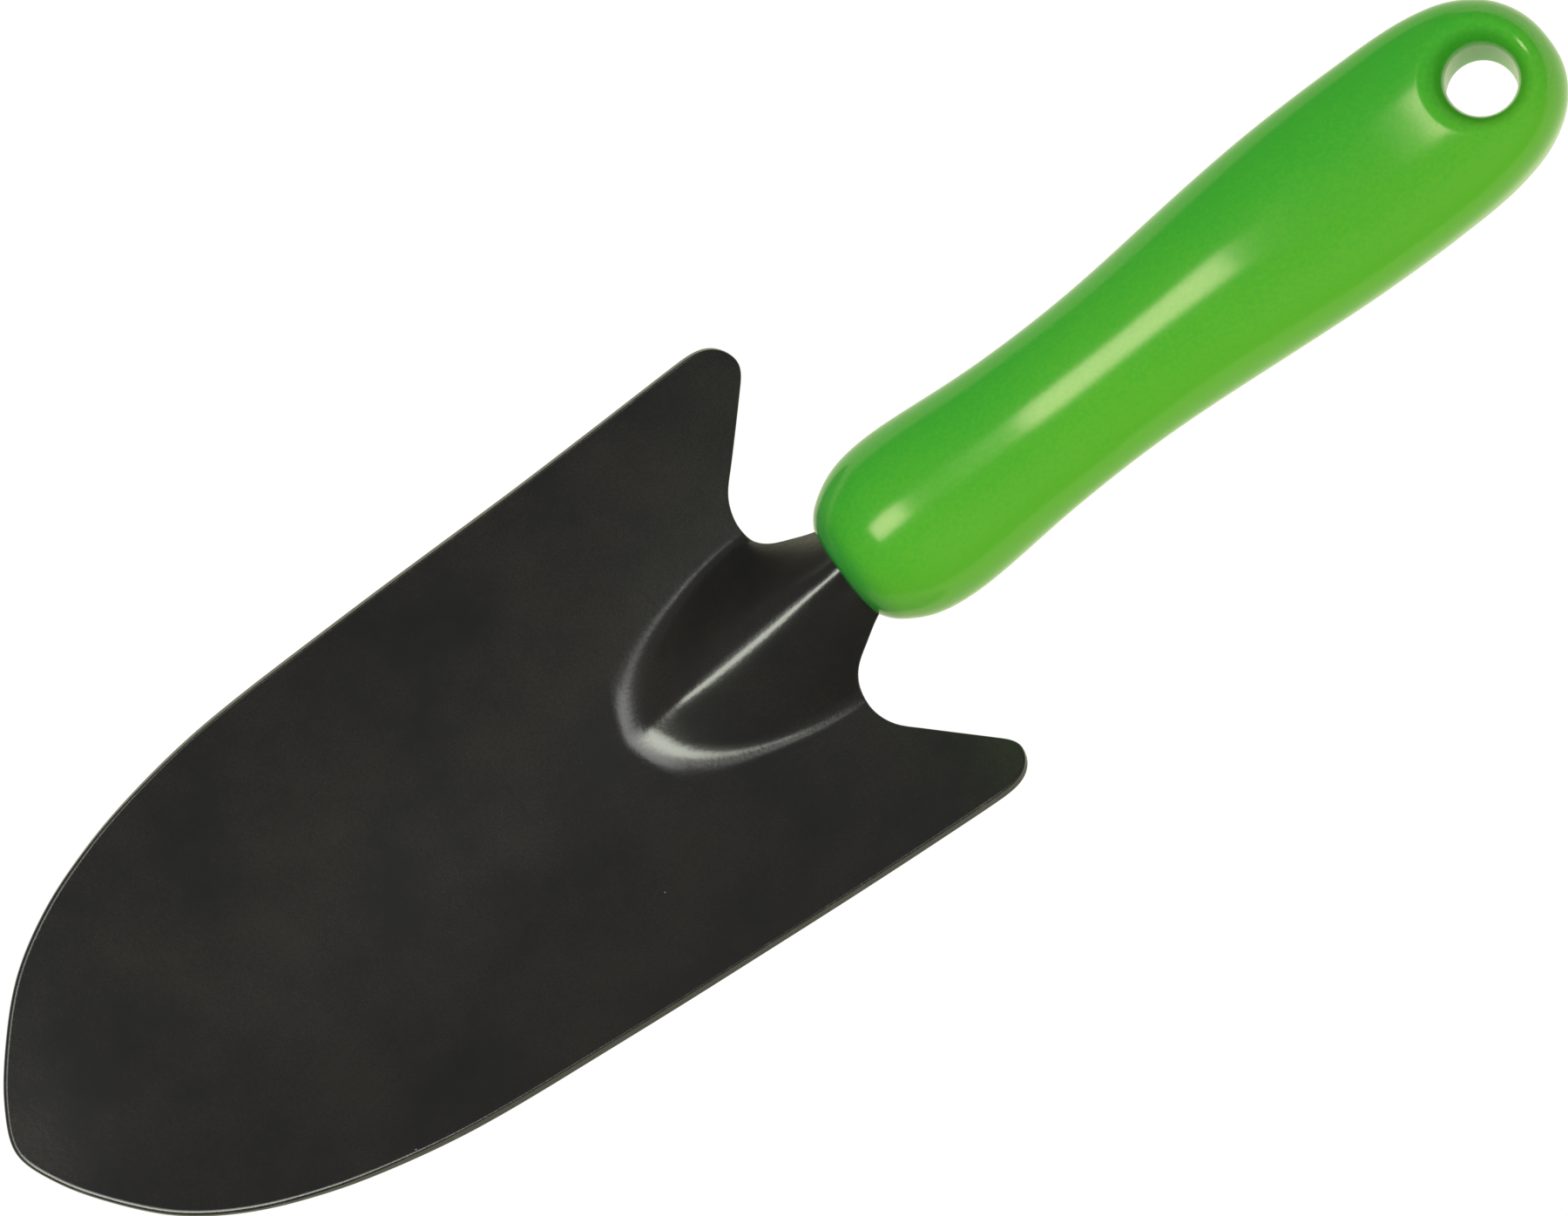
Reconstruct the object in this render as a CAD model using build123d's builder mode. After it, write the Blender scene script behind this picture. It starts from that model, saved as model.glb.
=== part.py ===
from build123d import *
from math import sqrt, cos, sin, pi
import os

# Hand trowel in millimetres: a pressed steel blade with a tang, and a plastic handle moulded
# around the tang.  Origin at the centre of the hang hole, +X along the handle toward its butt
# end, +Z up (the axis of the hang hole; the hollow side of the blade faces up).  The trowel
# is symmetric about the plane y = 0.

# ---------------------------------------------------------------- sheet and tang
sheet = 1.5            # thickness of the pressed steel sheet
fit = 0.06             # gap between the tang and the plastic around it
crown_soft = 2.0       # rounding of the rib crown
valley_soft = 1.6      # width of the blend where the rib meets the blade

tang_end = -52.0       # end of the tang inside the handle
tang_half_width = 4.8
tang_chamfer = 3.0     # cut corners at the end of the tang

key_hole_r = 2.4       # keying holes through the tang, filled by the handle
key_hole_pitch = 16.0
key_holes = [-98.0 + key_hole_pitch * i for i in range(3)]

# Vertical cutters, taller than the sheet and starting below it
cut_plane = Plane.XY.offset(-40.0)
cut_height = 90.0

# Sampled extents of the sheet's upper face
blade_face_start = -255.0
seat_face_start = -118.0
face_end = tang_end + 3.0

# Blade hollow: x, centre-line height, hollow coefficient k (z = height + k * y^2)
trough = [
    (-256, 28.3, .0066), (-252, 26.9, .0066), (-240, 22.6, .0072), (-228, 17.8, .0085),
    (-216, 13.1, .0093), (-204, 8.8, .0096), (-192, 4.85, .0097), (-180, 1.2, .0097),
    (-168, -2.3, .0095), (-158, -5.1, .0093), (-144, -8.55, .0088), (-132, -10.7, .0084),
    (-118, -12.7, .0081), (-107, -14.1, .0080), (-80, -20, .0080), (-46, -20, .0080),
]
# Rib, neck and tang: x, crown height, flank slope
rib = [
    (-256, -16, .30), (-170, -14, .30), (-160, -12.0, .30), (-156, -9.5, .25),
    (-154, -8.1, .24), (-152, -7.0, .24), (-149, -5.66, .30), (-146, -4.45, .40),
    (-143.3, -3.45, .48), (-140.6, -2.68, .56), (-136.7, -1.65, .675), (-130.5, -.05, .81),
    (-124.4, 1.5, .94), (-119.8, 2.62, 1.09), (-116.9, 3.35, 1.18), (-113.5, 4.3, 1.28),
    (-108, 5.1, 1.3), (-100, 5.0, 1.25), (-80, 4.2, 1.15), (-60, 3.6, 1.1), (-46, 3.4, 1.1),
]

# Half outline of the sheet in plan (x, y), from the blade tip round to the tang
edge_pts = [
    (-252.6, 0), (-252.05, 2.8), (-250.85, 5.5), (-249.1, 8.6), (-245.8, 13.1),
    (-240.1, 19.3), (-234.1, 23.7), (-227.9, 26.9), (-221.8, 29.2), (-215.8, 31.0),
    (-204.0, 33.45), (-192.2, 34.85), (-180.4, 35.65), (-168.5, 36.38), (-156.5, 37.0),
    (-144.4, 37.6), (-132.2, 38.2), (-122.0, 38.65), (-115.5, 38.9),
]
ear_pts = [
    edge_pts[-1], (-111.9, 38.85), (-109.3, 38.0), (-107.8, 36.2), (-107.7, 34.1),
    (-109.5, 31.75),
]
notch_pts = [
    (-117.9, 23.5), (-120.4, 20.9), (-121.85, 17.9), (-121.95, 14.6), (-120.0, 11.6),
    (-116.9, 9.75), (-113.5, 8.1), (-110.0, 7.1), (-106.0, 6.7),
]
tip_dir = (0, 1)            # outline directions where the splines start, meet and end
edge_dir = (1, 0.03)
shoulder_dir = (-0.72, -0.69)
neck_dir = (1, -0.04)

# Start of the seat's half outline; it then follows the last three notch points
seat_start = (-116.0, 9.35)

# ---------------------------------------------------------------- handle
bore_r = 5.12          # hang hole
bore_wall = 9.5        # straight length of the hang hole
flare_r = 3.6          # bell mouth of the hang hole, both faces
bore_reach = 15        # half height of the cutter, past both faces of the handle
section_count = 20     # spline points round each handle section

# x, half width, half thickness, squareness (superellipse exponent), height of the centre
handle_stations = [
    (-113, 8, 7.1, 2, -1), (-112.4, 9, 7.75, 2, -1), (-111.4, 9.95, 8.6, 2, -1.05),
    (-110, 10.7, 9.25, 2, -1.1), (-108.2, 11.8, 10.15, 2, -1.15),
    (-103.8, 13.3, 11.35, 2.05, -1.22), (-99, 13.73, 11.35, 2.05, -1.35),
    (-92, 13.4, 10.85, 2.1, -1.55), (-84, 12.75, 10.15, 2.1, -1.5),
    (-76, 12.41, 9.55, 2.1, -1.15), (-67, 12.39, 9.8, 2.1, -0.55),
    (-58, 12.81, 10.4, 2.1, 0.15), (-48, 13.6, 10.85, 2.15, 0.9),
    (-38, 14.4, 10.55, 2.2, 1.25), (-28, 14.92, 10.2, 2.35, 1.1),
    (-18, 15.02, 10, 2.5, 0.72), (-10, 14.83, 10.1, 2.65, 0.7),
    (-1.9, 13.92, 10.6, 2.8, 0.95), (1.7, 12.95, 10.6, 2.75, 0.95),
    (4.7, 11.6, 10.1, 2.6, 0.85), (7.15, 9.95, 9.1, 2.45, 0.7),
    (8.95, 8.05, 7.6, 2.3, 0.45), (10.2, 6.05, 5.85, 2.2, 0.25),
    (11.1, 4.2, 3.95, 2.1, 0.1), (11.55, 2.1, 1.95, 2, 0.05),
]


# ---------------------------------------------------------------- surface of the sheet
def interpolate(table, x, col):
    """Smooth (Catmull-Rom) value of one column of a station table at x."""
    last = len(table) - 1
    i = 0
    while i < last - 1 and x > table[i + 1][0]:
        i += 1
    x0, x1 = table[i][0], table[i + 1][0]
    v0, v1 = table[i][col], table[i + 1][col]
    slope0 = slope1 = (v1 - v0) / (x1 - x0)
    if i > 0:
        slope0 = (v1 - table[i - 1][col]) / (x1 - table[i - 1][0])
    if i + 1 < last:
        slope1 = (table[i + 2][col] - v0) / (table[i + 2][0] - x0)
    span = x1 - x0
    t = (x - x0) / span
    return ((2 * t**3 - 3 * t**2 + 1) * v0 + (t**3 - 2 * t**2 + t) * span * slope0
            + (-2 * t**3 + 3 * t**2) * v1 + (t**3 - t**2) * span * slope1)


def sheet_top(x, y):
    """Height of the upper face: the higher of hollow and rib, blended where they meet."""
    hollow = interpolate(trough, x, 1) + interpolate(trough, x, 2) * y * y
    roof = (interpolate(rib, x, 1)
            - interpolate(rib, x, 2) * (sqrt(y * y + crown_soft**2) - crown_soft))
    blend = max(valley_soft - abs(hollow - roof), 0.0) ** 2 / (4 * valley_soft)
    return max(hollow, roof) + blend


def trimmed_top(blank, x_start, x_steps, half_width, y_steps):
    """Upper face of the sheet cut to a blank, and the sign that thickens it upward."""
    rows = []
    for i in range(x_steps + 1):
        x = x_start + (face_end - x_start) * i / x_steps
        ys = [-half_width + 2 * half_width * j / y_steps for j in range(y_steps + 1)]
        rows.append([Vector(x, y, sheet_top(x, y)) for y in ys])
    top = Face.make_surface_from_array_of_points(rows, tol=0.02, min_deg=3, max_deg=5)
    up = 1.0 if top.normal_at(top.center()).Z > 0 else -1.0
    return top.intersect(blank.part.solid())[0], up


# ---------------------------------------------------------------- pieces
def make_blade():
    """Pressed sheet: blade, neck and tang in one, with the keying holes."""
    with BuildPart() as blank:
        with BuildSketch(cut_plane):
            with BuildLine():
                Spline(*edge_pts, tangents=[tip_dir, edge_dir])
                Spline(*ear_pts, tangents=[edge_dir, shoulder_dir])
                Line(ear_pts[-1], notch_pts[0])
                Spline(*notch_pts, tangents=[shoulder_dir, neck_dir])
                Polyline(notch_pts[-1], (tang_end - tang_chamfer, tang_half_width),
                         (tang_end, tang_half_width - tang_chamfer), (tang_end, 0))
                mirror(about=Plane.XZ)
            make_face()
        extrude(amount=cut_height)

    top, up = trimmed_top(blank, blade_face_start, x_steps=103, half_width=42.0, y_steps=68)

    with BuildPart() as blade:
        thicken(top, amount=-up * sheet)
        for hole_x in key_holes:
            with BuildSketch(cut_plane):
                with Locations((hole_x, 0)):
                    Circle(key_hole_r)
            extrude(amount=cut_height, mode=Mode.SUBTRACT)
    return blade.part


def make_seat():
    """Space the tang takes in the handle: the tang grown by the fit, holes shrunk by it."""
    with BuildPart() as blank:
        with BuildSketch(cut_plane):
            with BuildLine():
                Polyline((seat_start[0], 0),
                         *[(x, y + fit) for x, y in [seat_start, *notch_pts[-3:]]],
                         (tang_end - tang_chamfer, tang_half_width + fit),
                         (tang_end + fit, tang_half_width - tang_chamfer + fit),
                         (tang_end + fit, 0))
                mirror(about=Plane.XZ)
            make_face()
        extrude(amount=cut_height)

    top, up = trimmed_top(blank, seat_face_start, x_steps=46, half_width=12.0, y_steps=32)

    with BuildPart() as seat:
        thicken(top, amount=-up * (sheet + fit))
        thicken(top, amount=up * fit)
        # the plastic left here fills the keying holes
        for hole_x in key_holes:
            with BuildSketch(cut_plane):
                with Locations((hole_x, 0)):
                    Circle(key_hole_r - fit)
            extrude(amount=cut_height, mode=Mode.SUBTRACT)
    return seat.part


def section_points(half_width, half_thickness, squareness):
    """Points round one superellipse section of the handle."""
    points = []
    for i in range(section_count):
        angle = 2 * pi * i / section_count
        c, s = cos(angle), sin(angle)
        points.append((half_width * (abs(c) ** (2 / squareness)) * (1 if c >= 0 else -1),
                       half_thickness * (abs(s) ** (2 / squareness)) * (1 if s >= 0 else -1)))
    return points


def make_handle(seat):
    """Lofted grip with the hang hole and the seat of the tang cut out."""
    with BuildPart() as handle:
        for x, half_width, half_thickness, squareness, z in handle_stations:
            with BuildSketch(Plane(origin=(x, 0, z), x_dir=(0, 1, 0), z_dir=(1, 0, 0))):
                with BuildLine():
                    Spline(*section_points(half_width, half_thickness, squareness),
                           periodic=True)
                make_face()
        loft()

        # straight hang hole with a bell mouth on each face
        straight_z = bore_wall / 2
        mouth_z = straight_z + flare_r
        mouth_r = bore_r + flare_r
        with BuildSketch(Plane.XZ):
            with BuildLine():
                Line((0, -bore_reach), (0, bore_reach))
                Line((0, bore_reach), (mouth_r, bore_reach))
                Line((mouth_r, bore_reach), (mouth_r, mouth_z))
                RadiusArc((mouth_r, mouth_z), (bore_r, straight_z), -flare_r)
                Line((bore_r, straight_z), (bore_r, -straight_z))
                RadiusArc((bore_r, -straight_z), (mouth_r, -mouth_z), -flare_r)
                Line((mouth_r, -mouth_z), (mouth_r, -bore_reach))
                Line((mouth_r, -bore_reach), (0, -bore_reach))
            make_face()
        revolve(axis=Axis.Z, mode=Mode.SUBTRACT)
        add(seat, mode=Mode.SUBTRACT)
    return handle.part


os.makedirs("parts", exist_ok=True)
for name, part in (("blade", make_blade()), ("handle", make_handle(make_seat()))):
    part.label = name
    export_step(part, f"parts/{name}.step")
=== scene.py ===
"""Hand tool: a dished, ribbed sheet-metal blade with a tang inside a moulded plastic grip.

It lies along X with its top towards +Z: the blade tip is at the -X end, the rounded end of the
grip at the +X end. The axis of the hang hole through the grip is the Z axis. Both parts are
symmetric in Y. Shapes are given in millimetres and become metres in make_mesh; materials,
lights and camera distances are in metres.
"""
import math

import bmesh
import bpy
import numpy as np
from mathutils import Matrix, Vector
from mathutils.geometry import delaunay_2d_cdt


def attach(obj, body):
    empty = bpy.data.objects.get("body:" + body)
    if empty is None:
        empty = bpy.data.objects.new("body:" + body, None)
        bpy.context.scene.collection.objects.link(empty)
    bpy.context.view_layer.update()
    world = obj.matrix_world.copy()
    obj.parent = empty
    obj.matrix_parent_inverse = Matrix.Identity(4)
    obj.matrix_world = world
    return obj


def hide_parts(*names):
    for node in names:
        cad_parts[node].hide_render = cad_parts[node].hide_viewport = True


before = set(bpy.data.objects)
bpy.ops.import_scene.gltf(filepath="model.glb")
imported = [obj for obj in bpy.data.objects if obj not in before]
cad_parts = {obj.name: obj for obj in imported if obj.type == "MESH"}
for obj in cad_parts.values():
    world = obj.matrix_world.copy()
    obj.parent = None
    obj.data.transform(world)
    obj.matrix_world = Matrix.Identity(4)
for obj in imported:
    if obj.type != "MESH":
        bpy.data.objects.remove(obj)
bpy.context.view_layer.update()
MM = 0.001


# ------------------------------------------------------------------ curves
def second_derivatives(knots, values, start_slope=None, end_slope=None):
    """Second derivatives of a cubic spline at its knots; an end without a slope is natural."""
    count = len(knots)
    matrix = np.zeros((count, count))
    right = np.zeros(count)
    matrix[0, 0] = matrix[-1, -1] = 1.0
    if start_slope is not None:
        gap = knots[1] - knots[0]
        matrix[0, 0], matrix[0, 1] = 2 * gap, gap
        right[0] = 6 * ((values[1] - values[0]) / gap - start_slope)
    if end_slope is not None:
        gap = knots[-1] - knots[-2]
        matrix[-1, -1], matrix[-1, -2] = 2 * gap, gap
        right[-1] = 6 * (end_slope - (values[-1] - values[-2]) / gap)
    for i in range(1, count - 1):
        before, after = knots[i] - knots[i - 1], knots[i + 1] - knots[i]
        matrix[i, i - 1], matrix[i, i], matrix[i, i + 1] = before, 2 * (before + after), after
        right[i] = 6 * ((values[i + 1] - values[i]) / after
                        - (values[i] - values[i - 1]) / before)
    return np.linalg.solve(matrix, right)


def spline_eval(knots, values, bends, at):
    """The spline with second derivatives bends, evaluated at the given parameters."""
    i = np.clip(np.searchsorted(knots, at) - 1, 0, len(knots) - 2)
    gap = knots[i + 1] - knots[i]
    a, b = (knots[i + 1] - at) / gap, (at - knots[i]) / gap
    return (a * values[i] + b * values[i + 1]
            + ((a**3 - a) * bends[i] + (b**3 - b) * bends[i + 1]) * gap * gap / 6)


def hermite_curve(xs, ys):
    """A table column as a smooth function of x (cubic Hermite, held constant past the ends)."""
    slopes = np.empty(len(xs))
    chord = np.diff(ys) / np.diff(xs)
    slopes[0], slopes[-1] = chord[0], chord[-1]
    slopes[1:-1] = (ys[2:] - ys[:-2]) / (xs[2:] - xs[:-2])

    def evaluate(x):
        x = np.clip(x, xs[0], xs[-1])
        i = np.clip(np.searchsorted(xs, x) - 1, 0, len(xs) - 2)
        gap = xs[i + 1] - xs[i]
        t = (x - xs[i]) / gap
        return ((2*t**3 - 3*t**2 + 1) * ys[i] + (t**3 - 2*t**2 + t) * gap * slopes[i]
                + (-2*t**3 + 3*t**2) * ys[i + 1] + (t**3 - t**2) * gap * slopes[i + 1])
    return evaluate


def chords(points):
    return np.linalg.norm(np.diff(points, axis=0), axis=1)


def running_sum(steps):
    return np.concatenate([[0], np.cumsum(steps)])


def resample(table, along, count):
    """The rows of a table at count equal steps of the running length along."""
    at = np.linspace(0, along[-1], count + 1)
    return np.stack([np.interp(at, along, column) for column in table.T], 1)


def smooth_path(points, step, start_tangent=None, end_tangent=None):
    """Points about step apart along a spline through 2D points."""
    points = np.array(points, float)
    knots = running_sum(np.sqrt(chords(points)))
    at = np.linspace(0, knots[-1], 4000)
    start_speed = np.linalg.norm(points[1] - points[0]) / (knots[1] - knots[0])
    end_speed = np.linalg.norm(points[-1] - points[-2]) / (knots[-1] - knots[-2])
    columns = []
    for k in range(2):
        start = None if start_tangent is None else start_tangent[k] * start_speed
        end = None if end_tangent is None else end_tangent[k] * end_speed
        values = points[:, k]
        bends = second_derivatives(knots, values, start, end)
        columns.append(spline_eval(knots, values, bends, at))
    dense = np.stack(columns, 1)
    along = running_sum(chords(dense))
    return resample(dense, along, max(2, int(round(along[-1] / step))))


def unit(vector):
    vector = np.array(vector, float)
    return vector / np.linalg.norm(vector)


# ------------------------------------------------------------------ loops and meshes
def inside(loop, points):
    """Which points lie inside a closed polygon."""
    x, y = points[:, 0], points[:, 1]
    result = np.zeros(len(points), bool)
    for (x0, y0), (x1, y1) in zip(loop, np.roll(loop, -1, axis=0)):
        if y0 == y1:
            continue
        result ^= ((y0 > y) != (y1 > y)) & (x < (x1 - x0) * (y - y0) / (y1 - y0) + x0)
    return result


def squared_distance(loop, points):
    """Squared distance from each point to the nearest of every second vertex of a dense loop."""
    result = np.empty(len(points))
    chunk = 4000                               # keeps the distance table small
    for k in range(0, len(points), chunk):
        gaps = points[k:k + chunk, None, :] - loop[None, ::2, :]
        result[k:k + chunk] = (gaps ** 2).sum(2).min(1)
    return result


def outward_normals(loop):
    """Outward normals of a closed counter-clockwise loop."""
    along = np.roll(loop, -1, axis=0) - np.roll(loop, 1, axis=0)
    along /= np.linalg.norm(along, axis=1)[:, None]
    return np.stack([along[:, 1], -along[:, 0]], 1)


def triangulate(loops, interior):
    """Constrained Delaunay over loops[0] minus the other loops.

    Returns the points, the counter-clockwise triangles, and the new index of each input point.
    """
    points = np.concatenate(loops + [interior])
    edges = []
    first = 0
    for loop in loops:
        count = len(loop)
        edges += [(first + i, first + (i + 1) % count) for i in range(count)]
        first += count
    made, _, triangles, origins, _, _ = delaunay_2d_cdt(
        [Vector(p) for p in points.tolist()], edges, [], 0, 1e-7)
    made = np.array([tuple(p) for p in made])
    triangles = np.array(triangles)
    centres = made[triangles].mean(1)
    keep = inside(loops[0], centres)
    for loop in loops[1:]:
        keep &= ~inside(loop, centres)
    triangles = triangles[keep]
    new_index = np.full(len(points), -1)
    for new, olds in enumerate(origins):
        for old in olds:
            new_index[old] = new
    a, b, c = made[triangles].transpose(1, 0, 2)
    area = (b[:, 0] - a[:, 0]) * (c[:, 1] - a[:, 1]) - (b[:, 1] - a[:, 1]) * (c[:, 0] - a[:, 0])
    triangles[area < 0] = triangles[area < 0][:, ::-1]
    return made, triangles, new_index


def ring_pairs(ring_a, ring_b):
    """Corners (a, next a, b, next b) of each cell between two closed rings of indices."""
    return zip(ring_a, np.roll(ring_a, -1), ring_b, np.roll(ring_b, -1))


class Shell:
    """Points and faces gathered for one mesh."""
    def __init__(self):
        self.blocks = []
        self.count = 0
        self.faces = []

    def add(self, points):
        """Add points and return their indices."""
        self.blocks.append(points)
        first = self.count
        self.count += len(points)
        return np.arange(first, self.count)


def make_mesh(name, shell, normals=None, rim=None):
    mesh = bpy.data.meshes.new(name)
    verts = np.concatenate(shell.blocks) * MM
    mesh.from_pydata(verts.tolist(), [], [tuple(int(i) for i in face) for face in shell.faces])
    mesh.update()
    mesh.polygons.foreach_set("use_smooth", [True] * len(mesh.polygons))
    if rim is not None:
        attribute = mesh.attributes.new("rim", "FLOAT", "POINT")
        attribute.data.foreach_set("value", np.asarray(rim, np.float32))
    if normals is not None:
        mesh.normals_split_custom_set_from_vertices(normals.tolist())
    made = bpy.data.objects.new(name, mesh)
    bpy.context.scene.collection.objects.link(made)
    return made


# ------------------------------------------------------------------ blade shape (mm)
SHEET = 1.5
# x, height of the hollow on the centre line, its rise per squared distance from that line
TROUGH = np.array([
    (-256, 28.3, .0066), (-252, 26.9, .0066), (-240, 22.6, .0072), (-228, 17.8, .0085),
    (-216, 13.1, .0093), (-204, 8.8, .0096), (-192, 4.85, .0097), (-180, 1.2, .0097),
    (-168, -2.3, .0095), (-158, -5.1, .0093), (-144, -8.55, .0088), (-132, -10.7, .0084),
    (-118, -12.7, .0081), (-107, -14.1, .0080), (-80, -20.0, .0080), (-46, -20.0, .0080)])
# x, crown height, flank slope, rounding of the crown, rounding of the valley
RIB = np.array([
    (-256, -16, .30, 1.0, 2.2), (-170, -14, .30, 1.0, 2.2), (-160, -12.0, .30, 1.0, 2.1),
    (-156, -9.5, .24, 1.0, 2.1), (-154, -8.05, .22, 1.0, 2.1), (-152, -6.95, .225, 1.0, 2.05),
    (-150.5, -6.28, .245, 1.0, 2.0), (-149, -5.66, .294, 1.0, 1.95),
    (-147.5, -5.05, .355, 1.0, 1.9), (-146, -4.45, .41, 1.0, 1.85),
    (-143.3, -3.45, .497, 1.1, 1.75), (-140.6, -2.68, .572, 1.6, 1.6),
    (-136.7, -1.65, .685, 2.4, 1.5), (-130.5, -.05, .835, 3.1, 1.5),
    (-124.4, 1.5, .978, 3.1, 1.5), (-119.8, 2.62, 1.108, 2.5, 1.5),
    (-116.9, 3.35, 1.185, 2.2, 1.5), (-113.5, 4.3, 1.28, 2.0, 1.5), (-108, 5.1, 1.3, 2.0, 1.5),
    (-100, 5.0, 1.25, 2.0, 1.5), (-80, 4.2, 1.15, 2.0, 1.5), (-60, 3.6, 1.1, 2.0, 1.5),
    (-46, 3.4, 1.1, 2.0, 1.5)])
trough_height, trough_rise = [hermite_curve(TROUGH[:, 0], TROUGH[:, k]) for k in (1, 2)]
rib_height, rib_slope, rib_crown, rib_valley = [
    hermite_curve(RIB[:, 0], RIB[:, k]) for k in (1, 2, 3, 4)]

# the +Y half of the outline in plan (x, y): tip and side, rear corner, then in to the tang
EDGE = [(-252.6, 0), (-252.05, 2.8), (-250.85, 5.5), (-249.1, 8.6), (-245.8, 13.1),
        (-240.1, 19.3), (-234.1, 23.7), (-227.9, 26.9), (-221.8, 29.2), (-215.8, 31.0),
        (-204.0, 33.45), (-192.2, 34.85), (-180.4, 35.65), (-168.5, 36.38), (-156.5, 37.0),
        (-144.4, 37.6), (-132.2, 38.2), (-122.0, 38.65), (-115.5, 38.9)]
EAR = [(-115.5, 38.9), (-111.9, 38.85), (-109.3, 38.0), (-107.8, 36.2), (-107.7, 34.1),
       (-109.5, 31.75)]
NOTCH = [(-117.9, 23.5), (-120.4, 20.9), (-121.85, 17.9), (-121.95, 14.6), (-120.0, 11.6),
         (-116.9, 9.75), (-113.5, 8.1), (-110.0, 7.1), (-106.0, 6.7)]
TANG_END = -52.0
TANG_HALF_WIDTH = 4.8
TANG_HOLE_X = (-98.0, -82.0, -66.0)
TANG_HOLE_R = 2.4

EDGE_ROUND = 0.30                              # rounding of the sheared edge
TIP_EXTRA_ROUND = 0.34                         # added to it at the tip
TIP_ROUND_START, TIP_ROUND_LENGTH = -200.0, 30.0
ROUND_STEPS = 5

FINE_STEP, COARSE_STEP = 0.55, 1.0             # grid spacing round the rib nose and elsewhere
FINE_X, FINE_HALF_Y = (-165, -109), 23
FINE_GAP = 0.6                                 # between the fine patch and the coarse grid


def sheet_top(x, y):
    """Height of the upper side of the sheet: the higher of hollow and rib, with a blend."""
    hollow = trough_height(x) + trough_rise(x) * y * y
    crown, valley = rib_crown(x), rib_valley(x)
    roof = rib_height(x) - rib_slope(x) * (np.sqrt(y * y + crown**2) - crown)
    blend = np.maximum(valley - np.abs(hollow - roof), 0.0) ** 2 / (4 * valley)
    return np.maximum(hollow, roof) + blend


def sheet_normal(x, y):
    """Unit normals of the upper side and its slopes along X and Y."""
    e = 0.02
    slope_x = (sheet_top(x + e, y) - sheet_top(x - e, y)) / (2 * e)
    slope_y = (sheet_top(x, y + e) - sheet_top(x, y - e)) / (2 * e)
    normal = np.stack([-slope_x, -slope_y, np.ones_like(slope_x)], 1)
    return normal / np.linalg.norm(normal, axis=1)[:, None], slope_x, slope_y


def blade_outline():
    """The whole outline in plan, counter-clockwise."""
    step = 0.55
    side_end = unit((1, 0.03))
    ear_end = unit((-0.72, -0.69))
    notch_end = unit((1, -0.04))
    corner = [(TANG_END + 3.2, TANG_HALF_WIDTH), (TANG_END + 1.6, TANG_HALF_WIDTH - 0.7),
              (TANG_END + 0.5, TANG_HALF_WIDTH - 2.0), (TANG_END, TANG_HALF_WIDTH - 3.4)]
    parts = [smooth_path(EDGE, step, (0, 1), side_end),
             smooth_path(EAR, step, side_end, ear_end),
             smooth_path([EAR[-1], NOTCH[0]], step),
             smooth_path(NOTCH, step, ear_end, notch_end),
             smooth_path([NOTCH[-1], corner[0]], 1.0),
             smooth_path(corner, 0.5),
             smooth_path([corner[-1], (TANG_END, 0)], 0.7)]
    half = np.concatenate([part[:-1] for part in parts] + [parts[-1][-1:]])
    mirrored = half[1:-1][::-1] * [1, -1]
    return np.concatenate([half, mirrored])[::-1]


def hex_grid(x0, x1, half_y, spacing):
    """Points of a triangular grid, every second row shifted by half the spacing."""
    row_gap = spacing * math.sqrt(3) / 2
    rows = []
    for j in range(int(2 * half_y / row_gap) + 2):
        xs = np.arange(x0 + (spacing / 2 if j % 2 else 0), x1, spacing)
        rows.append(np.stack([xs, np.full(len(xs), -half_y + j * row_gap)], 1))
    return np.concatenate(rows)


def in_fine_patch(points, margin):
    x, y = points[:, 0], points[:, 1]
    return ((x > FINE_X[0] - margin) & (x < FINE_X[1] + margin)
            & (np.abs(y) < FINE_HALF_Y + margin))


def grid_points(outline, holes):
    """Grid points inside the outline that keep clear of it and of the holes."""
    fine = hex_grid(-166, -108, 24.2, FINE_STEP)
    coarse = hex_grid(-252, -50, 40, COARSE_STEP)
    points = np.concatenate([fine[in_fine_patch(fine, 0)],
                             coarse[~in_fine_patch(coarse, FINE_GAP)]])
    outline_gap, hole_gap = 0.42, 0.35
    points = points[inside(outline, points)]
    points = points[squared_distance(outline, points) >= outline_gap * outline_gap]
    for hole in holes:
        points = points[~inside(hole, points)]
        points = points[squared_distance(hole, points) >= hole_gap * hole_gap]
    return points


def tang_holes():
    """The holes in plan, widened by the edge rounding."""
    angle = np.linspace(0, 2 * np.pi, 41)[:-1]
    holes = []
    for x in TANG_HOLE_X:
        circle = np.stack([x + TANG_HOLE_R * np.cos(angle), TANG_HOLE_R * np.sin(angle)], 1)
        centre = circle.mean(0)
        holes.append(centre + (circle - centre) * (TANG_HOLE_R + EDGE_ROUND) / TANG_HOLE_R)
    return holes


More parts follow.
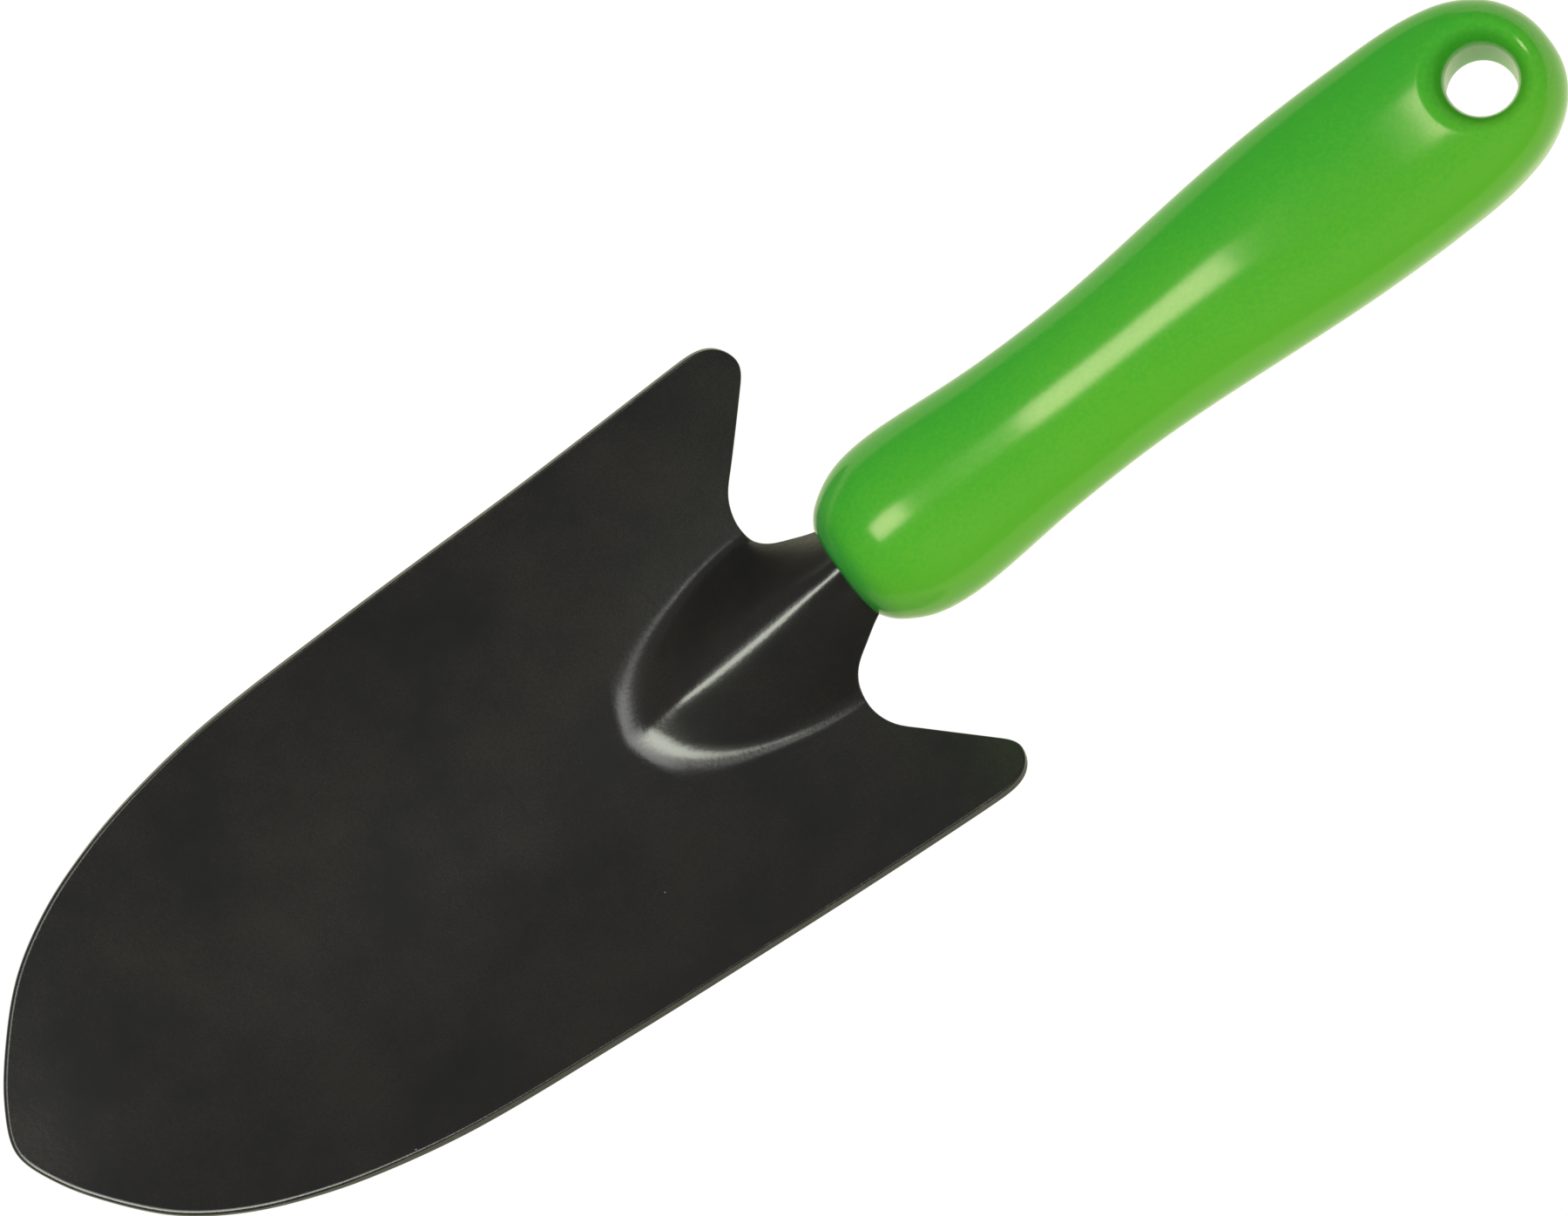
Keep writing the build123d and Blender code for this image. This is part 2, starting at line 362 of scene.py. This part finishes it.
def build_blade():
    outer = blade_outline()
    outer_normals = outward_normals(outer)
    tip_share = np.clip((TIP_ROUND_START - outer[:, 0]) / TIP_ROUND_LENGTH, 0, 1)
    outer_round = (EDGE_ROUND + TIP_EXTRA_ROUND * tip_share)[:, None]
    inner = outer - outer_normals * outer_round
    holes = tang_holes()
    loops = [inner] + holes
    plan, triangles, new_index = triangulate(loops, grid_points(inner, holes))

    # upper and lower sides of the sheet
    x, y = plan[:, 0], plan[:, 1]
    normal, slope_x, slope_y = sheet_normal(x, y)
    top = np.stack([x, y, sheet_top(x, y)], 1)
    count = len(plan)
    shell = Shell()
    shell.add(top)
    shell.add(top - normal * SHEET)
    shell.faces += [tuple(t) for t in triangles]
    shell.faces += [tuple(t[::-1] + count) for t in triangles]
    normals = [normal, -normal]
    rim = np.sqrt(squared_distance(outer, plan))   # plan distance to the outline
    rims = [rim, rim]

    # rounded edges joining the two sides, round the outline and in each hole
    turns = [(k, 1) for k in range(1, ROUND_STEPS + 1)]
    turns += [(k, -1) for k in range(ROUND_STEPS, 0, -1)]
    first = 0
    for loop in loops:
        start = new_index[first:first + len(loop)]
        first += len(loop)
        is_hole = loop is not inner
        if is_hole:
            spoke = loop - loop.mean(0)
            outward, radius = -spoke / np.linalg.norm(spoke, axis=1)[:, None], EDGE_ROUND
        else:
            outward, radius = outer_normals, outer_round
        up = normal[start]
        rise = outward[:, 0] * slope_x[start] + outward[:, 1] * slope_y[start]
        out = np.stack([outward[:, 0], outward[:, 1], rise], 1)
        out /= np.linalg.norm(out, axis=1)[:, None]
        rings = [start]
        for k, side in turns:
            angle = k / ROUND_STEPS * np.pi / 2
            drop = radius * (1 - math.cos(angle))
            if side < 0:
                drop = SHEET - drop
            rings.append(shell.add(top[start] + out * radius * math.sin(angle) - up * drop))
            normals.append(side * up * math.cos(angle) + out * math.sin(angle))
            rims.append(np.zeros(len(loop)))
        rings.append(start + count)
        for ring_a, ring_b in zip(rings, rings[1:]):
            for a, a_next, b, b_next in ring_pairs(ring_a, ring_b):
                quad = (a, b, b_next, a_next)
                shell.faces.append(quad[::-1] if is_hole else quad)
                if is_hole:
                    shell.faces[-1] = (a_next, b_next, b, a)
    return make_mesh("blade_pressing", shell, np.concatenate(normals), np.concatenate(rims))


# ------------------------------------------------------------------ grip shape (mm)
# x, half width, half thickness, squareness (superellipse exponent), height of the middle
GRIP = np.array([
    (-113, 6.5, 5.9, 2, -1), (-112.85, 7.35, 6.65, 2, -1), (-112.3, 8.35, 7.4, 2, -1),
    (-111.3, 9.6, 8.4, 2, -1.05), (-110, 10.65, 9.2, 2, -1.1), (-108.2, 11.75, 10.1, 2, -1.15),
    (-106.3, 12.6, 10.8, 2, -1.2), (-103.8, 13.25, 11.3, 2.05, -1.22),
    (-99, 13.68, 11.3, 2.05, -1.35), (-92, 13.35, 10.8, 2.1, -1.55),
    (-84, 12.7, 10.1, 2.1, -1.5), (-76, 12.36, 9.5, 2.1, -1.15), (-67, 12.34, 9.75, 2.1, -0.55),
    (-58, 12.76, 10.35, 2.1, 0.15), (-48, 13.55, 10.8, 2.15, 0.9), (-38, 14.35, 10.5, 2.2, 1.25),
    (-28, 14.87, 10.15, 2.35, 1.1), (-18, 14.97, 9.95, 2.5, 0.72), (-14, 14.9, 9.96, 2.55, 0.66),
    (-10, 14.78, 10.05, 2.65, 0.68), (-5.6, 14.45, 10.3, 2.75, 0.78),
    (-1.9, 13.85, 10.5, 2.8, 0.9), (1.7, 12.9, 10.5, 2.75, 0.92), (4.7, 11.55, 10.0, 2.6, 0.82),
    (7.15, 9.9, 8.95, 2.45, 0.65), (8.95, 8, 7.55, 2.3, 0.45), (10.2, 6, 5.8, 2.2, 0.25),
    (11.1, 3.5, 3.35, 2.1, 0.1), (11.5, 0, 0, 2, 0)])
BORE_R = 5.12                                  # hang hole
RIM_UP, RIM_DOWN = 5.2, 4.4                    # where the bore meets its mouths, from z = 0
FLARE_R = 9.3                                  # where the bell mouth runs out into the grip
WINDOW_R = FLARE_R + 0.9                       # body faces nearer the axis are cut away
WINDOW_MIN_Z = 3.0                             # the cut stays this far from z = 0

RING_STEP, RING_POINTS = 0.75, 144             # body rings along and round the grip
MOUTH_POINTS, MOUTH_RINGS, BORE_RINGS = 120, 34, 12
FRONT_SCALES = (0.97, 0.9, 0.75, 0.5, 0.25)    # rings closing the end towards the blade
FRONT_BULGE = 0.7


def grip_profile():
    """The columns of GRIP splined along its own length."""
    knots = running_sum(np.sqrt(chords(GRIP[:, :3])))
    at = np.linspace(0, knots[-1], 6000)
    profile = np.stack([spline_eval(knots, column, second_derivatives(knots, column), at)
                        for column in GRIP.T], 1)
    profile[:, 1:3] = np.maximum(profile[:, 1:3], 0)
    return profile


PROFILE = grip_profile()
PROFILE_LENGTH = running_sum(chords(PROFILE[:, :3]))
# strictly rising x, for interpolation
PROFILE_X = np.maximum.accumulate(PROFILE[:, 0] + np.arange(len(PROFILE)) * 1e-9)
MOUTH_ANGLE = np.arange(MOUTH_POINTS) * 2 * np.pi / MOUTH_POINTS


def grip_face(x, y, sign):
    """Height of the upper (+1) or lower (-1) surface of the grip over the plan."""
    half_width, half_thickness, power, middle = [
        np.interp(x, PROFILE_X, PROFILE[:, k]) for k in (1, 2, 3, 4)]
    share = np.clip(1 - (np.abs(y) / np.maximum(half_width, 1e-6)) ** power, 1e-9, 1)
    return middle + sign * half_thickness * share ** (1 / power)


def mouth_ring(radius, sign):
    """A ring of the bell mouth let into the upper (+1) or lower (-1) surface."""
    x, y = radius * np.cos(MOUTH_ANGLE), radius * np.sin(MOUTH_ANGLE)
    height = sign * grip_face(x, y, sign)
    depth = height - (RIM_UP if sign > 0 else RIM_DOWN)
    t = np.clip((FLARE_R - radius) / (FLARE_R - BORE_R), 0, 1)
    drop = depth * (0.35 * t ** 2.4 + 0.65 * (1 - np.sqrt(1 - t ** 2.6)))
    return np.stack([x, y, sign * (height - drop)], 1)


def body_ring(station):
    """One superellipse ring of the grip body."""
    x, half_width, half_thickness, power, middle = station
    angle = np.arange(RING_POINTS) * 2 * np.pi / RING_POINTS
    cos, sin = np.cos(angle), np.sin(angle)
    reach = (np.abs(cos) ** power + np.abs(sin) ** power) ** (-1 / power)
    return np.stack([np.full(RING_POINTS, x), half_width * cos * reach,
                     middle + half_thickness * sin * reach], 1)


def boundary_loop(quads):
    """Indices round the border of a patch of quads."""
    edges = np.concatenate([quads[:, [k, (k + 1) % 4]] for k in range(4)])
    directed = dict.fromkeys(map(tuple, edges.tolist()))      # keeps the order of the edges
    following = {a: b for a, b in directed if (b, a) not in directed}
    start = next(iter(following))
    loop = [start]
    while following[loop[-1]] != start:
        loop.append(following[loop[-1]])
    return np.array(loop)


def add_mouth(shell, body, window, sign):
    """Fill a window in the body down to the bore; returns indices and points of its last ring."""
    border = boundary_loop(window)
    plan = body[border][:, :2]
    ahead = np.roll(plan, -1, axis=0)
    if np.sum(plan[:, 0] * ahead[:, 1] - ahead[:, 0] * plan[:, 1]) < 0:
        border, plan = border[::-1], plan[::-1]
    radii = FLARE_R - (FLARE_R - BORE_R) * np.sin(np.linspace(0, np.pi / 2, MOUTH_RINGS + 1))
    points = [mouth_ring(radius, sign) for radius in radii]
    rings = [shell.add(ring) for ring in points]

    # from the ragged window to the round start of the mouth
    _, triangles, new_index = triangulate([plan, points[0][:, :2]], np.zeros((0, 2)))
    to_shell = dict(zip(new_index.tolist(), np.concatenate([border, rings[0]]).tolist()))
    for triangle in triangles:
        face = tuple(to_shell[int(i)] for i in triangle)
        shell.faces.append(face if sign > 0 else face[::-1])

    for ring_a, ring_b in zip(rings, rings[1:]):
        for a, a_next, b, b_next in ring_pairs(ring_a, ring_b):
            face = (a, a_next, b_next, b)
            shell.faces.append(face if sign > 0 else face[::-1])
    return rings[-1], points[-1]


def add_bore(shell, upper, lower):
    """Wall between the last rings of the two mouths."""
    (upper_ring, upper_points), (lower_ring, lower_points) = upper, lower
    top, bottom = upper_points[:, 2], lower_points[:, 2]
    x, y = BORE_R * np.cos(MOUTH_ANGLE), BORE_R * np.sin(MOUTH_ANGLE)
    rings = [upper_ring]
    for k in range(1, BORE_RINGS):
        rings.append(shell.add(np.stack([x, y, top + (bottom - top) * k / BORE_RINGS], 1)))
    rings.append(lower_ring)
    for ring_a, ring_b in zip(rings, rings[1:]):
        shell.faces += [(a, a_next, b_next, b)
                        for a, a_next, b, b_next in ring_pairs(ring_a, ring_b)]


def add_front(shell, first_ring):
    """Close the end towards the blade with rings shrinking to its middle."""
    front_x, middle = GRIP[0, 0], GRIP[0, 4]
    previous = np.arange(RING_POINTS)
    for scale in FRONT_SCALES:
        ring = first_ring.copy()
        ring[:, 1] *= scale
        ring[:, 2] = middle + (ring[:, 2] - middle) * scale
        ring[:, 0] -= FRONT_BULGE * (1 - scale * scale)
        current = shell.add(ring)
        shell.faces += [(a_next, a, b, b_next)
                        for a, a_next, b, b_next in ring_pairs(previous, current)]
        previous = current
    centre = shell.add(np.array([[front_x - FRONT_BULGE, 0, middle]]))[0]
    shell.faces += [(a_next, a, centre) for a, a_next in zip(previous, np.roll(previous, -1))]


def build_grip():
    shell = Shell()
    stations = resample(PROFILE, PROFILE_LENGTH, int(PROFILE_LENGTH[-1] / RING_STEP))
    body_rings = [body_ring(station) for station in stations[:-1]]
    body = np.concatenate(body_rings)
    rings = shell.add(body).reshape(-1, RING_POINTS)
    tip = shell.add(np.array([[stations[-1, 0], 0, 0]]))[0]
    quads = np.array([(a, a_next, b_next, b) for ring_a, ring_b in zip(rings, rings[1:])
                      for a, a_next, b, b_next in ring_pairs(ring_a, ring_b)])

    # open a window round the hang hole on each face
    centres = body[quads].mean(1)
    window = ((np.hypot(centres[:, 0], centres[:, 1]) < WINDOW_R)
              & (np.abs(centres[:, 2]) > WINDOW_MIN_Z))
    shell.faces += [tuple(quad) for quad in quads[~window]]
    shell.faces += [(a, a_next, tip) for a, a_next in zip(rings[-1], np.roll(rings[-1], -1))]

    upper = add_mouth(shell, body, quads[window & (centres[:, 2] > 0)], 1)
    lower = add_mouth(shell, body, quads[window & (centres[:, 2] < 0)], -1)
    add_bore(shell, upper, lower)
    add_front(shell, body_rings[0])

    made = make_mesh("grip_moulding", shell)
    bm = bmesh.new()
    bm.from_mesh(made.data)
    bmesh.ops.recalc_face_normals(bm, faces=bm.faces)
    loose = [vert for vert in bm.verts if not vert.link_faces]      # left inside the windows
    bmesh.ops.delete(bm, geom=loose, context="VERTS")
    bm.to_mesh(made.data)
    bm.free()
    return made


# ------------------------------------------------------------------ node helpers
def add_node(tree, kind, inputs, **settings):
    """Add a node; an input given as a socket is linked, any other is set."""
    made = tree.nodes.new(kind)
    for key, value in settings.items():
        setattr(made, key, value)
    for key, value in inputs.items():
        if isinstance(value, bpy.types.NodeSocket):
            tree.links.new(value, made.inputs[key])
        else:
            made.inputs[key].default_value = value
    return made


def noise(tree, coords, scale, detail, roughness):
    inputs = {"Vector": coords, "Scale": scale, "Detail": detail, "Roughness": roughness}
    return add_node(tree, "ShaderNodeTexNoise", inputs).outputs["Fac"]


def calc(tree, operation, *values):
    return add_node(tree, "ShaderNodeMath", dict(enumerate(values)),
                    operation=operation).outputs[0]


def centred(tree, value, amount):
    """A 0 to 1 value scaled to amount and centred on zero."""
    return calc(tree, "MULTIPLY_ADD", value, amount, -amount / 2)


def map_range(tree, value, source=(0.0, 1.0), target=(0.0, 1.0), **settings):
    inputs = {"Value": value, "From Min": source[0], "From Max": source[1],
              "To Min": target[0], "To Max": target[1]}
    return add_node(tree, "ShaderNodeMapRange", inputs, **settings).outputs[0]


def mix_color(tree, factor, first, second):
    """Colour mix; 6 and 7 are the colour inputs of the mix node, 2 its colour output."""
    return add_node(tree, "ShaderNodeMix", {0: factor, 6: first, 7: second},
                    data_type="RGBA").outputs[2]


def color_ramp(tree, factor, low, high):
    """Ramp between two (position, colour) stops."""
    ramp = add_node(tree, "ShaderNodeValToRGB", {"Fac": factor})
    for element, (position, color) in zip(ramp.color_ramp.elements, (low, high)):
        element.position = position
        element.color = color
    return ramp.outputs["Color"]


def bump(tree, height, strength, distance):
    inputs = {"Height": height, "Strength": strength, "Distance": distance}
    return add_node(tree, "ShaderNodeBump", inputs).outputs[0]


def object_coords(tree):
    return add_node(tree, "ShaderNodeTexCoord", {}).outputs["Object"]


def new_material(name):
    material = bpy.data.materials.new(name)
    material.use_nodes = True
    material.node_tree.nodes.clear()
    return material, material.node_tree


def set_surface(tree, kind, inputs):
    """Add the shader and link it to a new material output."""
    shader = add_node(tree, kind, inputs)
    add_node(tree, "ShaderNodeOutputMaterial", {"Surface": shader.outputs[0]})


# ------------------------------------------------------------------ materials
def coat_material():
    material, tree = new_material("black_powder_coat")
    coords = object_coords(tree)
    mottle = noise(tree, coords, scale=55.0, detail=5.0, roughness=0.6)
    grain = noise(tree, coords, scale=1400.0, detail=3.0, roughness=0.6)

    # powder grain on top of the mottle
    powder = noise(tree, coords, scale=2600.0, detail=2.0, roughness=0.8)
    speckled = calc(tree, "ADD", mottle, centred(tree, powder, amount=0.8))
    coat = color_ramp(tree, speckled, low=(0.28, (0.0132, 0.0132, 0.0122, 1)),
                      high=(0.72, (0.0262, 0.0240, 0.0192, 1)))

    # fine specks of dust and bare metal, in some of the cells only
    speck_size, skipped_cells = 0.022, 0.70
    cells = add_node(tree, "ShaderNodeTexVoronoi", {"Vector": coords, "Scale": 150.0})
    dot = calc(tree, "LESS_THAN", cells.outputs["Distance"], speck_size)
    cell_color = add_node(tree, "ShaderNodeSeparateColor", {0: cells.outputs["Color"]})
    picked = calc(tree, "GREATER_THAN", cell_color.outputs[0], skipped_cells)
    specks = calc(tree, "MULTIPLY", dot, picked)

    # patchy wear along the rim; the rim attribute is in millimetres
    wear_amount = 0.22
    rim = add_node(tree, "ShaderNodeAttribute", {}, attribute_name="rim").outputs["Fac"]
    near_rim = map_range(tree, rim, source=(0.0, 0.5), target=(1.0, 0.0))
    patches = noise(tree, coords, scale=420.0, detail=4.0, roughness=0.7)
    wear = calc(tree, "MULTIPLY", near_rim, map_range(tree, patches, source=(0.56, 0.68)))
    worn = mix_color(tree, calc(tree, "MULTIPLY", wear, wear_amount), coat,
                     (0.16, 0.16, 0.15, 1))

    set_surface(tree, "ShaderNodeBsdfPrincipled", {
        "Base Color": mix_color(tree, specks, worn, (0.3, 0.3, 0.28, 1)),
        "Roughness": map_range(tree, mottle, target=(0.21, 0.28)),
        "IOR": 1.62,
        "Normal": bump(tree, grain, strength=0.18, distance=0.00012)})
    return material


def plastic_material():
    material, tree = new_material("green_moulded_plastic")
    coords = object_coords(tree)
    flow = noise(tree, coords, scale=38.0, detail=3.0, roughness=0.55)
    grain = noise(tree, coords, scale=900.0, detail=3.0, roughness=0.6)
    fine = noise(tree, coords, scale=1500.0, detail=2.0, roughness=0.7)
    place = add_node(tree, "ShaderNodeSeparateXYZ", {0: coords}).outputs

    # painted shade: colour darker on the +Y side and lighter, yellower on the -Y side, broken up
    # by flow marks and a fine grain
    painted_side_shade = map_range(tree, place["Y"], source=(0.013, -0.013))
    side_shade_and_flow = calc(tree, "ADD", painted_side_shade, centred(tree, flow, amount=0.5))
    speckled = calc(tree, "ADD", side_shade_and_flow, centred(tree, fine, amount=0.9))
    green = color_ramp(tree, speckled, low=(0.1, (0.056, 0.50, 0.036, 1)),
                       high=(0.9, (0.140, 0.58, 0.034, 1)))

    # painted shade: deeper colour along the front end, where the grip meets the blade
    edge = map_range(tree, place["X"], source=(-0.1131, -0.1085), target=(0.80, 0.0),
                     interpolation_type="SMOOTHSTEP")

    # the bore is moulded on a core pin and is less polished than the outside
    across = add_node(tree, "ShaderNodeCombineXYZ", {0: place["X"], 1: place["Y"]})
    from_axis = add_node(tree, "ShaderNodeVectorMath", {0: across.outputs[0]},
                         operation="LENGTH").outputs["Value"]

    set_surface(tree, "ShaderNodeBsdfPrincipled", {
        "Base Color": mix_color(tree, edge, green, (0.018, 0.29, 0.040, 1)),
        "Roughness": map_range(tree, grain, target=(0.13, 0.22)),
        "Specular IOR Level": map_range(tree, from_axis, source=(0.00515, 0.0056),
                                        target=(0.10, 0.5)),
        "IOR": 1.5,
        "Specular Tint": (1.0, 0.80, 0.56, 1),
        "Subsurface Weight": 0.12,
        "Subsurface Radius": (0.4, 1.0, 0.2),
        "Subsurface Scale": 0.002,
        "Normal": bump(tree, grain, strength=0.05, distance=0.0001)})
    return material


def floor_material():
    """Glowing white floor that looks yellowish in reflections."""
    material, tree = new_material("pale_floor")
    glossy = add_node(tree, "ShaderNodeLightPath", {}).outputs["Is Glossy Ray"]
    color = mix_color(tree, glossy, (1, 1, 1, 1), (0.97, 0.97, 0.70, 1))
    set_surface(tree, "ShaderNodeEmission", {"Color": color, "Strength": 1.02})
    return material


# ------------------------------------------------------------------ the product
blade = build_blade()
grip = build_grip()
coat, plastic = coat_material(), plastic_material()
blade.data.materials.append(coat)
grip.data.materials.append(plastic)
for node_name, material in (("blade", coat), ("handle", plastic)):
    cad_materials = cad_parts[node_name].data.materials
    cad_materials.clear()
    cad_materials.append(material)
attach(blade, "root")
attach(grip, "root")
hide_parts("blade")
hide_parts("handle")


# ------------------------------------------------------------------ floor and world
def build_floor(half_size=6.0, height=-0.05):
    s = half_size
    mesh = bpy.data.meshes.new("floor")
    mesh.from_pydata([(-s, -s, 0), (s, -s, 0), (s, s, 0), (-s, s, 0)], [], [(0, 1, 2, 3)])
    floor = bpy.data.objects.new("floor", mesh)
    floor.location = (0, 0, height)
    bpy.context.scene.collection.objects.link(floor)
    mesh.materials.append(floor_material())


def build_world():
    """White surroundings, brighter towards one side."""
    world = bpy.data.worlds.new("studio")
    bpy.context.scene.world = world
    world.use_nodes = True
    tree = world.node_tree
    incoming = add_node(tree, "ShaderNodeNewGeometry", {}).outputs["Incoming"]
    # Incoming points back along the ray, so this is minus the bright direction
    facing = add_node(tree, "ShaderNodeVectorMath", {0: incoming, 1: (-0.25, -0.85, -0.46)},
                      operation="DOT_PRODUCT").outputs["Value"]
    strength = map_range(tree, facing, source=(0.35, 1.0), target=(0.10, 0.155))
    background = tree.nodes["Background"]
    background.inputs["Color"].default_value = (1, 1, 1, 1)
    tree.links.new(strength, background.inputs["Strength"])


# ------------------------------------------------------------------ lights
def area_light(name, target, direction, distance, size, power):
    """Rectangular lamp aimed at target from the given direction, its long side along X."""
    light = bpy.data.lights.new(name, "AREA")
    light.shape = "RECTANGLE"
    light.size, light.size_y = size
    light.energy = power
    made = bpy.data.objects.new(name, light)
    made.location = target + Vector(direction).normalized() * distance
    z = (made.location - target).normalized()
    x = Vector((1, 0, 0))
    x = (x - z * x.dot(z)).normalized()
    y = z.cross(x)
    made.rotation_mode = "QUATERNION"
    made.rotation_quaternion = Matrix((x, y, z)).transposed().to_quaternion()
    bpy.context.scene.collection.objects.link(made)
    return made


def receiver_group(name, member):
    group = bpy.data.collections.new(name)
    group.objects.link(member)
    return group


def build_lights():
    middle = Vector((-0.07, 0, 0))
    # the grip takes the whole key lamp; the satin blade takes the same lamp in two shares,
    # of which only the low one is mirrored
    key, key_low, key_soft = [
        area_light(name, middle, direction=(-0.25, 0.175, 0.955), distance=1.2,
                   size=(0.78, 0.38), power=power)
        for name, power in (("key", 8.3), ("key_low", 3.3), ("key_soft", 5.0))]
    key_soft.visible_glossy = False

    # a long panel that is only mirrored in the blade: crown, nose and valley of the rib
    strip = area_light("strip", Vector((-0.135, 0, 0)), direction=(-0.375, -0.15, 0.885),
                       distance=1.2, size=(0.93, 0.42), power=12.5)
    strip.data.color = (0.95, 1.0, 0.86)
    strip.visible_diffuse = False

    blade_only = receiver_group("mirrored_in_blade", blade)
    grip_only = receiver_group("all_but_blade", grip)
    for lamp in (strip, key_low, key_soft):
        lamp.light_linking.receiver_collection = blade_only
    key.light_linking.receiver_collection = grip_only

    # soft bounce, not a lamp to be mirrored
    fill = area_light("fill", middle, direction=(0.30, -0.70, 0.65), distance=1.6,
                      size=(1.3, 1.3), power=8.2)
    fill.visible_glossy = False


# ------------------------------------------------------------------ camera
CAMERA_PLACE = Vector((-70.4969, -112.1541, 626.1403)) * MM
# rows: the camera's right, up and backward directions
CAMERA_AXES = Matrix(((0.79534, -0.58136, -0.17163),
                      (0.60057, 0.79414, 0.09308),
                      (0.08219, -0.17711, 0.98075)))


def build_camera():
    data = bpy.data.cameras.new("cam")
    camera = bpy.data.objects.new("cam", data)
    camera.matrix_world = Matrix.Translation(CAMERA_PLACE) @ CAMERA_AXES.transposed().to_4x4()
    data.sensor_fit = "HORIZONTAL"
    data.sensor_width = 36.0
    data.lens = 102.4
    data.clip_start = 0.01
    data.clip_end = 30
    bpy.context.scene.collection.objects.link(camera)
    bpy.context.scene.camera = camera


build_floor()
build_world()
build_lights()
build_camera()
bpy.context.scene.view_settings.view_transform = "Standard"
